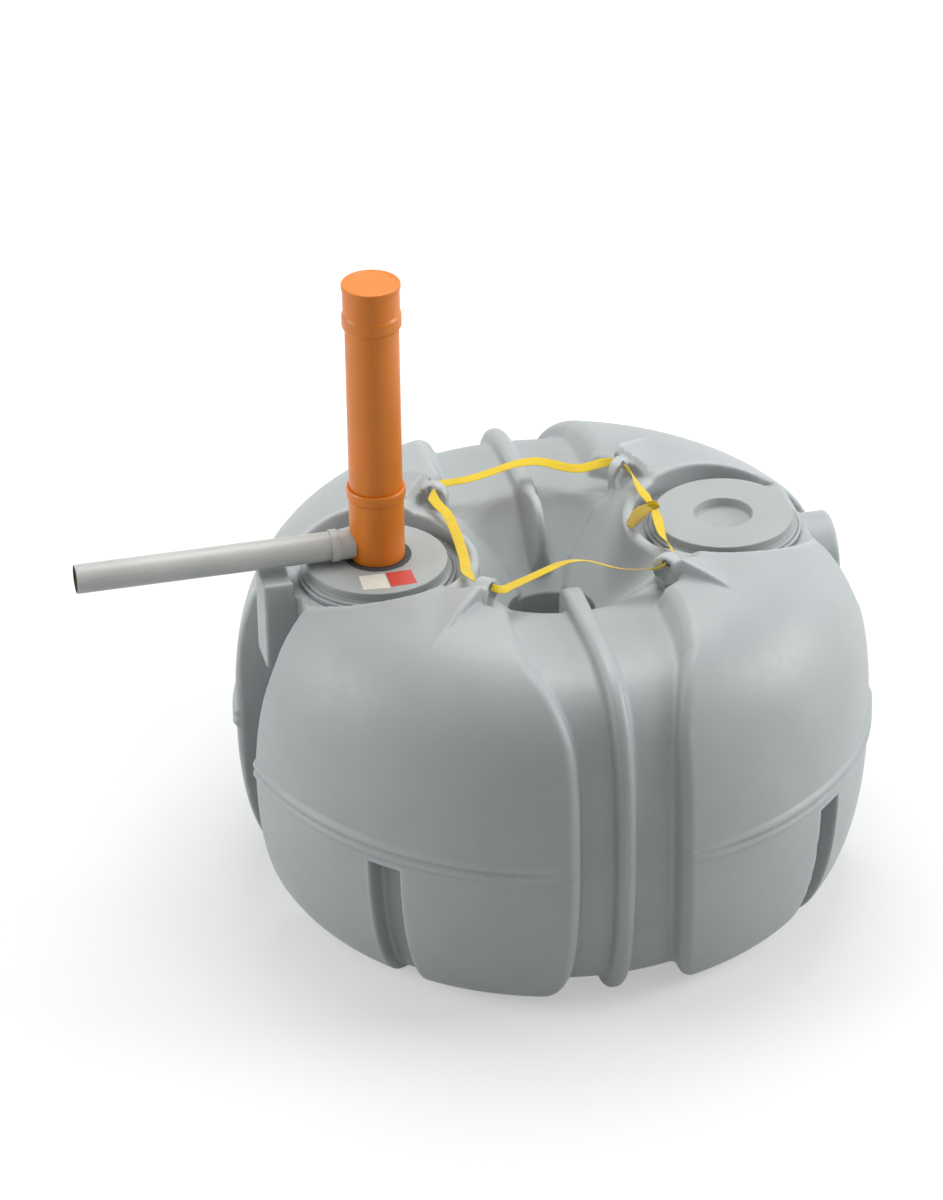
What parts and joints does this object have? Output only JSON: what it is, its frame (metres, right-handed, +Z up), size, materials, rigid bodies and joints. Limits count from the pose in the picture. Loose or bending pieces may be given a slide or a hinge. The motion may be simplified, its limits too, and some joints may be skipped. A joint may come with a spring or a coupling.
{
  "type": "septic tank",
  "caption": "Ring-shaped moulded plastic septic tank with manholes, a capped riser with a side inlet pipe, lifting lugs and a slack lifting strap.",
  "frame": {"origin": "on the tank's upright axis, in the middle of the centre well, at the level the lobes stand on", "axes": "+Z up, X along the line through both manholes with the riser at -X, -Y towards the front of the picture"},
  "size_m": [2.9972, 2.4162, 2.5535],
  "materials": {
    "grey_polyethylene": "satin",
    "orange_pipe": "satin",
    "grey_pipe": "satin",
    "black_rubber": "matt",
    "yellow_webbing": "woven"
  },
  "bodies": {
    "root": {"back_hoop_rib": "grey_polyethylene", "back_left_lifting_lug": "grey_polyethylene", "back_right_lifting_lug": "grey_polyethylene", "back_strap": "yellow_webbing", "back_waist_lower_shell": "grey_polyethylene", "back_waist_upper_shell": "grey_polyethylene", "front_hoop_rib": "grey_polyethylene", "front_left_lifting_lug": "grey_polyethylene", "front_right_lifting_lug": "grey_polyethylene", "front_strap": "yellow_webbing", "front_waist_lower_shell": "grey_polyethylene", "front_waist_upper_shell": "grey_polyethylene", "left_lid": "grey_polyethylene", "left_lobe_back_lower_shell": "grey_polyethylene", "left_lobe_back_upper_shell": "grey_polyethylene", "left_lobe_front_lower_shell": "grey_polyethylene", "left_lobe_front_upper_shell": "grey_polyethylene", "left_manhole_neck": "grey_polyethylene", "left_pipe_housing": "grey_polyethylene", "left_strap": "yellow_webbing", "right_lid": "grey_polyethylene", "right_lobe_back_lower_shell": "grey_polyethylene", "right_lobe_back_upper_shell": "grey_polyethylene", "right_lobe_front_lower_shell": "grey_polyethylene", "right_lobe_front_upper_shell": "grey_polyethylene", "right_manhole_neck": "grey_polyethylene", "right_pipe_stub": "grey_polyethylene", "right_strap_back": "yellow_webbing", "right_strap_front": "yellow_webbing", "riser_branch": "orange_pipe", "riser_coupling": "orange_pipe", "riser_pipe": "orange_pipe", "riser_plug": "orange_pipe", "riser_seal": "black_rubber", "side_pipe": "grey_pipe", "side_pipe_adapter": "grey_pipe", "side_pipe_collar": "grey_pipe", "strap_knot": "yellow_webbing"}
  },
  "joints": []
}
